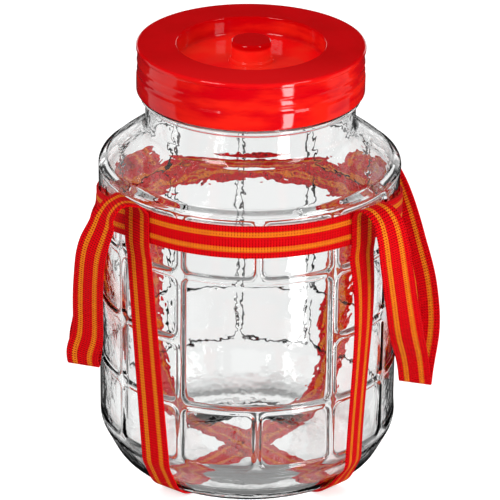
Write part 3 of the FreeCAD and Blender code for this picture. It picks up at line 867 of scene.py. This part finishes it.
# The world by direction: its height is the sine of the angle above the level, its depth the share that
# points away from the camera, and its bearing the turn from the back to the right, in degrees here.
# A pair is a soft edge: where it is 0 and where it is 1.
FLAG_COUNT = 8                # dark flags, evenly round
FLAG_SIDE = (0.35, 0.8)
FLAG_BOTTOM = (-0.98, -0.8)
FLAG_TOP = (0.75, 0.5)
HORIZON_BOTTOM = (-0.06, 0.02)
HORIZON_TOP = (0.3, 0.2)
FLAG_DARK = 0.93              # of the flags and the horizon
FLOOR_EDGE = (-0.47, -0.62)
FLOOR_DARK = 0.75
FRONT_EDGE = (-0.1, -0.3)     # the camera's side, for rays that were mirrored inside the glass
FRONT_TOP = (0.15, 0.0)
FRONT_DARK = 0.9
THROUGH_GLASS_LIGHT = 3.6     # for rays that light a surface through glass; the plain level is 1
TOP_EDGE = (0.0, 0.7)
TOP_SHADE = 0.28              # how much weaker the light from overhead is
PANELS = ((-99, -55, 0.55), (62, 96, 0.3))   # pale ones in mirrors: bearings and strength
PANEL_SOFT = 2
PANEL_TOP = (0.1, 0.0)
RIM_BOTTOM = (-0.12, -0.02)
RIM_TOP = (0.25, 0.12)
RIM_SIDES = ((8, 14), (40, 30))   # bearings to each side of the back
RIM_LIGHT = 2.0               # above white; it draws the lid's edges
MIRROR_BASE = 0.02
GROUND_COLOUR = (0.75, 0.75, 0.75, 1)
GROUND_GLOW = (0.55, 0.55, 0.55, 1)
LAMPS = (                     # name, place, aim, size, watts
    ("key", (-1.1, -1.3, 1.3), (0, 0, 0.2), (0.7, 0.9), 12),
    ("fill", (1.5, -1.2, 0.9), (0, 0, 0.2), (0.5, 1.1), 7),
    ("strip", (0.32, -0.46, 0.12), (0, 0, 0.25), (0.10, 0.36), 1.2),
)


def aimed(place, aim):
    """Matrix of a camera or lamp at place that looks at aim."""
    look = (Vector(aim) - Vector(place)).to_track_quat("-Z", "Y").to_matrix().to_4x4()
    return Matrix.Translation(Vector(place)) @ look


def camera():
    """The camera at the photograph's viewing angle."""
    data = bpy.data.cameras.new("camera")
    data.lens = CAMERA_LENS
    data.sensor_width = 36
    data.clip_end = 50
    eye = bpy.data.objects.new("camera", data)
    bpy.context.scene.collection.objects.link(eye)
    eye.matrix_world = aimed(CAMERA_PLACE, CAMERA_AIM) @ Matrix.Rotation(math.radians(CAMERA_ROLL), 4, "Z")
    bpy.context.scene.camera = eye


def lamp(name, place, aim, size, power):
    data = bpy.data.lights.new(name, "AREA")
    data.shape = "RECTANGLE"
    data.size, data.size_y = size
    data.energy = power
    light = bpy.data.objects.new(name, data)
    bpy.context.scene.collection.objects.link(light)
    light.matrix_world = aimed(place, aim)


def seen_through_glass(nodes, path, bearing, depth, height):
    """White, with dark flags, a dark horizon and a dark floor that draw the glass's edges.

    Rays that light a surface through the glass see one strength in every direction instead.
    """
    waves = nodes.math("COSINE", nodes.times(bearing, float(FLAG_COUNT)))
    flags = nodes.ramp(nodes.times(waves, -1.0), *FLAG_SIDE)
    flags = nodes.times(flags, nodes.band(height, FLAG_BOTTOM, FLAG_TOP))
    horizon = nodes.band(height, HORIZON_BOTTOM, HORIZON_TOP)
    dark = nodes.times(nodes.math("MAXIMUM", flags, horizon), FLAG_DARK)
    dark = nodes.math("MAXIMUM", dark, nodes.times(nodes.ramp(height, *FLOOR_EDGE), FLOOR_DARK))
    front = nodes.times(nodes.ramp(depth, *FRONT_EDGE), nodes.ramp(height, *FRONT_TOP))
    front = nodes.times(front, nodes.math("MINIMUM", path["Glossy Depth"], 1.0))
    dark = nodes.math("MAXIMUM", dark, nodes.times(front, FRONT_DARK))
    seen = nodes.less(1.0, dark)
    lighting = nodes.math("MINIMUM", path["Diffuse Depth"], 1.0)
    return nodes.plus(nodes.times(seen, nodes.less(1.0, lighting)),
                      nodes.times(lighting, THROUGH_GLASS_LIGHT))


def seen_in_mirrors(nodes, bearing, height):
    """Two pale panels below the level, and a bright strip at the level on both sides of the back."""
    def panel(left, right, strength):
        rise = math.radians(left - PANEL_SOFT), math.radians(left + PANEL_SOFT)
        fall = math.radians(right + PANEL_SOFT), math.radians(right - PANEL_SOFT)
        inside = nodes.times(nodes.band(bearing, rise, fall), nodes.ramp(height, *PANEL_TOP))
        return nodes.times(inside, strength)

    panels = nodes.plus(*(panel(*numbers) for numbers in PANELS))
    aside = nodes.math("ABSOLUTE", bearing)
    rim = nodes.band(height, RIM_BOTTOM, RIM_TOP)
    for start, end in RIM_SIDES:
        rim = nodes.times(rim, nodes.ramp(aside, math.radians(start), math.radians(end)))
    return nodes.plus(nodes.plus(panels, nodes.times(rim, RIM_LIGHT)), MIRROR_BASE)


def world():
    """White to the eye; other rays see light that depends on their kind and direction."""
    surroundings = bpy.data.worlds.new("studio")
    surroundings.use_nodes = True
    nodes = Nodes(surroundings.node_tree)
    path = nodes.add("ShaderNodeLightPath").outputs
    side, depth, height = nodes.parts(nodes.add("ShaderNodeTexCoord").outputs["Generated"])
    bearing = nodes.math("ARCTAN2", side, depth)

    through = path["Is Transmission Ray"]
    mirrored = nodes.times(path["Is Glossy Ray"], nodes.less(1.0, through))
    diffuse = nodes.less(nodes.less(1.0, through), mirrored)
    ambient = nodes.less(1.0, nodes.times(nodes.ramp(height, *TOP_EDGE), TOP_SHADE))
    strength = nodes.plus(nodes.times(through, seen_through_glass(nodes, path, bearing, depth, height)),
                          nodes.times(diffuse, ambient))
    strength = nodes.plus(strength, nodes.times(mirrored, seen_in_mirrors(nodes, bearing, height)))

    white = (1, 1, 1, 1)
    background = nodes.add("ShaderNodeBackground")
    glow = nodes.add("ShaderNodeBackground")
    blend = nodes.add("ShaderNodeMixShader")
    output = nodes.add("ShaderNodeOutputWorld")
    nodes.feed(background.inputs, (white, 1.0))
    nodes.feed(glow.inputs, (white, strength))
    nodes.feed(blend.inputs, (path["Is Camera Ray"], glow.outputs[0], background.outputs[0]))
    nodes.link(blend.outputs[0], output.inputs[0])
    bpy.context.scene.world = surroundings


def floor():
    """Pale ground that turns pure white to the eye away from the jar's shadow."""
    bpy.ops.mesh.primitive_plane_add(size=6)
    ground = bpy.context.object
    ground.name = "ground"
    ground.location.z = -0.2 * MM
    nodes = Surface("ground")
    eye = nodes.add("ShaderNodeLightPath").outputs["Is Camera Ray"]
    nodes.set(Base_Color=GROUND_COLOUR, Roughness=0.9, Specular_IOR_Level=0.0,
              Emission_Color=GROUND_GLOW, Emission_Strength=eye)
    paint(ground, nodes.material)
    ground.visible_transmission = False
    ground.visible_glossy = False


def studio():
    world()
    floor()
    for numbers in LAMPS:
        lamp(*numbers)
    bpy.context.scene.view_settings.view_transform = "Standard"
    camera()


# ---- the part --------------------------------------------------------------------------------------

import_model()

jar = glass_jar()
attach(jar, "root")
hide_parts("glass_jar")
paint(jar, glass_material())

cover = lid()
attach(cover, "root")
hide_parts("lid")
paint(cover, lid_material())

woven = webbing_material()
left_front = (LEFT_BAND_AZ, LEFT_HEEL_AZ, JOIN_FRONT_Z, 0.0, 0.0)
right_front = (RIGHT_BAND_AZ, RIGHT_HEEL_AZ, JOIN_FRONT_Z, RIGHT_TWIST, RIGHT_BOW)
back_left = (BACK_LEFT_AZ, RIGHT_HEEL_AZ - 180, JOIN_BACK_Z, 0.0, 0.0)
back_right = (BACK_RIGHT_AZ, LEFT_HEEL_AZ + 180, JOIN_BACK_Z, 0.0, 0.0)
harness = [
    waist_band(),
    sling("sling_a_webbing", "sling_a", left_front, back_right, 0.0),
    sling("sling_b_webbing", "sling_b", right_front, back_left, STRAP_T + CLEAR),
    handle("handle_left_webbing", "handle_left", left_stations()),
    handle("handle_right_webbing", "handle_right", right_stations()),
]
for strap in harness:
    paint(strap, woven)

studio()
